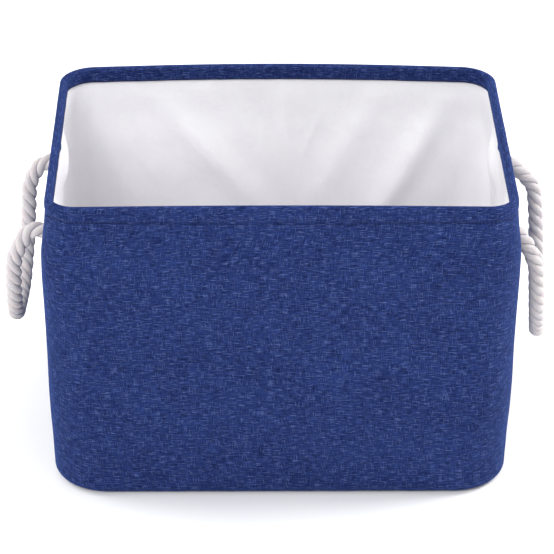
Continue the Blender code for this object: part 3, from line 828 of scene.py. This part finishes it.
def base_sheet(name, inset, z, thickness, mat, node, r_scale=1.0):
    """Flat sheet inside a base seam: rings that shrink to the middle."""
    s = np.linspace(0, 1, 90)[:-1]
    loops = []
    for f in (True, False):
        p, _, _ = ring(s, 0.0, inset, f)
        loops.append(p)
    outer = np.vstack(loops)
    rows, uv = [], []
    for k in np.linspace(1.0, 0.02, 26):
        q = outer.copy()
        q[:, :2] *= k
        wob = np.array([soft_noise((a[0], a[1], z), 0.040, 2.4) for a in q])
        q[:, 2] = z + np.maximum(0, 0.00025 * wob) * (1 - k)
        rows.append(q)
        uv.append(q[:, :2].copy())
    obj = grid_mesh(name, np.array(rows), np.array(uv), closed=True)
    me = obj.data
    # UVs straight from the plan, so the weave runs square
    layer = me.uv_layers["weave"]
    idx = np.empty(len(me.loops), np.int32)
    me.loops.foreach_get("vertex_index", idx)
    co = np.empty(len(me.vertices) * 3, np.float32)
    me.vertices.foreach_get("co", co)
    layer.data.foreach_set("uv", co.reshape(-1, 3)[idx][:, :2].reshape(-1))
    bm = bmesh.new()
    bm.from_mesh(me)
    bmesh.ops.holes_fill(bm, edges=[e for e in bm.edges if e.is_boundary and
                                    all(v.co.xy.length < 0.02 for v in e.verts)], sides=0)
    bmesh.ops.recalc_face_normals(bm, faces=bm.faces)
    if bm.faces[:][0].normal.z < 0:
        bmesh.ops.reverse_faces(bm, faces=bm.faces)
    bm.to_mesh(me)
    bm.free()
    m = obj.modifiers.new("cloth", "SOLIDIFY")
    m.thickness = thickness
    m.offset = 1.0
    me.materials.append(mat)
    bake(obj)
    obj.data.shade_smooth()
    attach(obj, "bin_body")
    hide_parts(node)
    return obj


base = base_sheet("shell_base_cloth", BASE_INSET + 0.0003, 0.0, CLOTH, LINEN, "shell_base")


# ------------------------------------------------------------------ the liner
def fold(px, pz, x0, z0, x1, z1, amp, width, sharp=2.0):
    """Height of a soft ridge along a line on an unrolled panel."""
    dx, dz = x1 - x0, z1 - z0
    ln = math.hypot(dx, dz)
    t = ((px - x0) * dx + (pz - z0) * dz) / ln
    o = ((px - x0) * dz - (pz - z0) * dx) / ln
    ends = step(-0.10 * ln, 0.45 * ln, t) * (1 - step(0.65 * ln, 1.25 * ln, t))
    return amp * ends * np.exp(-np.abs(o / width) ** sharp)


def liner_panel(front):
    prof = [(LINER_IN + LINER_R + 0.008, LINER_FLOOR), (LINER_IN + LINER_R + 0.004, LINER_FLOOR)]
    for w in np.linspace(270, 180, 12):
        prof.append((LINER_IN + LINER_R + LINER_R * math.cos(math.radians(w)),
                     LINER_FLOOR + LINER_R + LINER_R * math.sin(math.radians(w))))
    for z in np.linspace(LINER_FLOOR + LINER_R, 0.256, 92)[1:]:
        prof.append((LINER_IN, z))
    for z in (0.259, 0.262, 0.265, 0.268, 0.270):
        prof.append((LINER_IN - (z - 0.256) / 0.014 * 0.0013, z))
    prof = np.array(prof)
    run = np.concatenate([[0], np.cumsum(np.linalg.norm(np.diff(prof, axis=0), axis=1))])
    s = np.linspace(0, 1, 270)
    rng = np.random.RandomState(11 if front else 23)
    small = []
    for _ in range(34):
        x0, z0 = rng.uniform(-0.33, 0.33), rng.uniform(0.05, 0.25)
        lean = rng.uniform(-0.55, 0.55)
        ln = rng.uniform(0.02, 0.07)
        small.append((x0, z0, x0 + ln * math.sin(lean), z0 - ln * math.cos(lean),
                      rng.uniform(0.0003, 0.0011) * rng.choice([-1, 1]), rng.uniform(0.0025, 0.006)))
    rows, uv = [], []
    for j, (inset, z) in enumerate(prof):
        p0, n0, total = ring(s, z, inset, front)
        # hanging free, the liner spans each round corner in two flats with a
        # crease between them
        grow = float(hermite(BULGE, z / HEIGHT))
        w = float(1 - step(0.236, 0.264, z)) * float(step(LINER_FLOOR + 0.002, 0.05, z))
        r = max(corner_r(z, front) - inset, 0.003)
        side_l = RIM_Y + grow - inset - r
        arc_l = 0.5 * math.pi * r
        flat = p0.copy()
        for first in (side_l, total - side_l - arc_l):
            tau = (s * total - first) / arc_l
            on = (tau > 0) & (tau < 1)
            key = [ring(np.array([(first + q * arc_l) / total]), z, inset, front)[0][0] for q in (0, 0.5, 1)]
            u = tau[on]
            flat[on] = np.where(u[:, None] < 0.5,
                                key[0] + (key[1] - key[0]) * (2 * u)[:, None],
                                key[1] + (key[2] - key[1]) * (2 * u - 1)[:, None])
        for _ in range(3):
            flat[1:-1] = 0.5 * flat[1:-1] + 0.25 * (flat[:-2] + flat[2:])
        p = p0 * (1 - w) + flat * w
        # place on the unrolled wall: x from the middle of the long panel
        ux = (s - 0.5) * total
        if not front:
            ux = -ux                    # then +ux is towards +X for both
        free = float(step(LINER_FLOOR + 0.004, 0.05, z)) * float(1 - step(0.247, 0.264, z))
        d = np.zeros(len(s))             # inward, metres
        if free > 0:
            lo = np.array([soft_noise(q, 0.070, 3.3 if front else 8.8) for q in p])
            me = np.array([soft_noise(q, 0.024, 5.1) for q in p])
            fi = np.array([soft_noise(q, 0.009, 1.9) for q in p])
            d += 0.0016 * np.maximum(lo, -0.2) + 0.0006 * me + 0.00016 * fi
            for f in small:
                d += fold(ux, z, *f)
            if not front:
                # the long drapes that hang in a V from the two top corners
                d += fold(ux, z, -0.125, 0.262, -0.010, 0.130, 0.0075, 0.015)
                d += fold(ux, z, -0.060, 0.262, 0.015, 0.150, 0.0030, 0.012)
                d += fold(ux, z, 0.165, 0.262, 0.085, 0.110, 0.0100, 0.014)
                d += fold(ux, z, -0.185, 0.262, -0.120, 0.110, 0.0050, 0.016)
                d += fold(ux, z, 0.100, 0.262, 0.035, 0.140, 0.0035, 0.014)
                d += fold(ux, z, 0.043, 0.236, 0.023, 0.186, 0.0012, 0.0028)
                d += fold(ux, z, -0.150, 0.225, -0.105, 0.150, 0.0016, 0.005)
                d += fold(ux, z, 0.005, 0.262, 0.012, 0.200, 0.0014, 0.006)
            else:
                d += fold(ux, z, -0.130, 0.262, -0.030, 0.110, 0.0055, 0.018)
                d += fold(ux, z, 0.150, 0.262, 0.050, 0.120, 0.0060, 0.017)
                d += fold(ux, z, 0.010, 0.262, 0.000, 0.150, 0.0030, 0.014)
        # over the rope knots, on the short sides
        yk = np.abs(np.abs(p[:, 1]) - HOLE_Y)
        on_side = step(0.165, 0.190, np.abs(p[:, 0]))
        over = np.exp(-((yk / 0.027) ** 2 + ((z - HOLE_Z) / 0.025) ** 2) ** 1.4)
        d = d * free
        d = np.maximum(d, -0.0012) * (1 - over * on_side) + 0.0086 * over * on_side
        if not front:
            # the back right corner hangs as a slanting flat, wider lower down
            depth = max(0.0, 0.268 - z)
            cut = 0.27 * min(depth, 0.155) * (1 - 0.75 * float(step(0.17, 0.262, depth)))
            cx, cy = RIM_X + grow - inset, RIM_Y + grow - inset
            ca, cb = max(cut, 0.0005), max(1.5 * cut, 0.0005)
            nx_, ny_ = cb / math.hypot(ca, cb), ca / math.hypot(ca, cb)
            lim = (cx - ca) * nx_ + cy * ny_
            over = p[:, 0] * nx_ + p[:, 1] * ny_ - lim
            edge_ = 0.0016
            push = np.where(over > edge_, over, np.where(over > -edge_, (over + edge_) ** 2 / (4 * edge_), 0.0))
            push = push * (p[:, 0] > 0) * (p[:, 1] > 0)
            p = p - np.outer(push, [nx_, ny_, 0.0])
        q = p - n0 * d[:, None]
        q[0, 1] += -0.00001 if front else 0.00001
        q[-1, 1] += -0.00001 if front else 0.00001
        rows.append(q)
        uv.append(np.stack([s * total, np.full(len(s), run[j])], 1))
    obj = grid_mesh("liner_front_cloth" if front else "liner_back_cloth", np.array(rows), np.array(uv))
    solidify(obj, -LINER_T)
    obj.data.materials.append(LINER)
    return obj


for front in (True, False):
    liner = liner_panel(front)
    bake(liner)
    bm = bmesh.new()
    bm.from_mesh(liner.data)
    bmesh.ops.recalc_face_normals(bm, faces=bm.faces)
    bm.to_mesh(liner.data)
    bm.free()
    liner.data.shade_smooth()
    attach(liner, "bin_body")
    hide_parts("liner_front" if front else "liner_back")

liner_base = base_sheet("liner_base_cloth", LINER_IN + LINER_R + 0.008 + 0.0003, LINER_FLOOR, LINER_T,
                        LINER, "liner_base")


# ------------------------------------------------------------------- stitches
def stitch(a, b, out, radius=0.00028, sink=0.00022, sides=6):
    """One stitch from a to b: ends dive into the cloth."""
    a, b, out = np.array(a), np.array(b), np.array(out)
    t = np.linspace(0, 1, 6)
    lift = np.sin(math.pi * t) ** 0.6
    line = a + (b - a) * t[:, None] + out * (lift * (radius * 0.9 + sink) - sink)[:, None]
    rad = radius * (0.55 + 0.45 * np.sin(math.pi * np.clip(t, 0.05, 0.95)))
    return tube_mesh("", line, rad, sides, THREAD)


def hem_stitches():
    tubes = []
    pitch = 0.0034
    for front in (True, False):
        s = np.linspace(0, 1, 4001)
        p, n, total = ring(s, STITCH_Z, 0.0, front)
        count = int(round(total / pitch))
        for k in range(count):
            i0 = int((k + 0.12) / count * 4000)
            i1 = int((k + 0.84) / count * 4000)
            edge = min(k, count - 1 - k)
            base_d = -0.00062
            if edge == 0:
                continue
            m = n[(i0 + i1) // 2]
            tubes.append(stitch(p[i0] + n[i0] * base_d, p[i1] + n[i1] * base_d, m))
        # the same row seen from inside the bin
        p, n, total = ring(s, STITCH_Z, HEM_W, front)
        for k in range(count):
            i0 = int((k + 0.12) / count * 4000)
            i1 = int((k + 0.84) / count * 4000)
            if min(k, count - 1 - k) < 2:
                continue
            m = -n[(i0 + i1) // 2]
            tubes.append(stitch(p[i0] + m * 0.00005, p[i1] + m * 0.00005, m))
    return pieces_mesh("hem_stitches", tubes, THREAD)


hem = hem_stitches()
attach(hem, "bin_body")
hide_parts("hem_stitching")

for side in ("left", "right"):
    sign = -1 if side == "left" else 1
    for end, y in (("front", -HOLE_Y), ("rear", HOLE_Y)):
        tubes = []
        for k in range(34):
            w = 2 * math.pi * k / 34
            ca, sa = math.cos(w), math.sin(w)
            w2 = w + 0.05
            x = sign * (WALL_X + 0.0001)
            a = (x - sign * 0.0006, y + 0.0068 * ca, HOLE_Z + 0.0068 * sa)
            b = (x, y + 0.0098 * math.cos(w2), HOLE_Z + 0.0098 * math.sin(w2))
            tubes.append(stitch(a, b, (sign, 0, 0), 0.00038, 0.0001))
        ring_st = pieces_mesh(side + "_hole_stitches_" + end, tubes, THREAD)
        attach(ring_st, "bin_body")
        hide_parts(side + "_hole_stitching_" + end)

# ----------------------------------------------------- carried-over CAD pieces
for node, mat in (("rim_wire", drawn_steel("rim_wire_steel", srgb(196, 198, 200))),
                  ("rim_wire_ferrule", drawn_steel("ferrule_steel", srgb(206, 206, 208))),
                  ("left_handle_backing", canvas("backing_left")),
                  ("right_handle_backing", canvas("backing_right"))):
    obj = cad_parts[node]
    if obj.material_slots:
        for slot_ in obj.material_slots:
            slot_.material = mat
    else:
        obj.data.materials.append(mat)


# ------------------------------------------------------------ floor and lights
def floor_material():
    n = Nodes("floor_pale")
    tone = n.noise(n.position(), 6.0, 2.0)
    n.link(n.mix(n.band(tone, 0.3, 0.7), (0.95, 0.95, 0.955, 1), (0.97, 0.97, 0.97, 1)), n.bsdf.inputs["Base Color"])
    n.bsdf.inputs["Roughness"].default_value = 0.9
    n.bsdf.inputs["Specular IOR Level"].default_value = 0.1
    return n.mat


bm = bmesh.new()
bmesh.ops.create_grid(bm, x_segments=2, y_segments=2, size=40.0)
mesh = bpy.data.meshes.new("floor")
bm.to_mesh(mesh)
bm.free()
floor = bpy.data.objects.new("floor", mesh)
floor.location = (0, 0, -0.0006)
bpy.context.scene.collection.objects.link(floor)
mesh.materials.append(floor_material())

world = bpy.data.worlds.new("studio")
bpy.context.scene.world = world
world.use_nodes = True
world.node_tree.nodes["Background"].inputs["Color"].default_value = (1.0, 1.0, 1.0, 1.0)
world.node_tree.nodes["Background"].inputs["Strength"].default_value = 0.66


def area(name, loc, target, size, power, colour=(1, 1, 1)):
    light = bpy.data.lights.new(name, "AREA")
    light.shape = "RECTANGLE"
    light.size, light.size_y = size
    light.energy = power
    light.color = colour
    obj = bpy.data.objects.new(name, light)
    obj.location = loc
    obj.rotation_euler = (Vector(target) - Vector(loc)).to_track_quat("-Z", "Y").to_euler()
    bpy.context.scene.collection.objects.link(obj)


area("key", (-0.9, -2.9, 2.4), (0, 0, 0.15), (2.0, 1.2), 76.0)
area("top", (0.0, 0.6, 3.0), (0, 0, 0.1), (3.0, 2.4), 24.0)
area("left_side", (-2.4, 0.6, 1.9), (0, 0, 0.2), (1.4, 1.2), 32.0)
area("right_side", (2.4, 0.6, 1.9), (0, 0, 0.2), (1.4, 1.2), 84.0)

bpy.context.scene.view_settings.view_transform = "Standard"
bpy.context.scene.view_settings.look = "None"
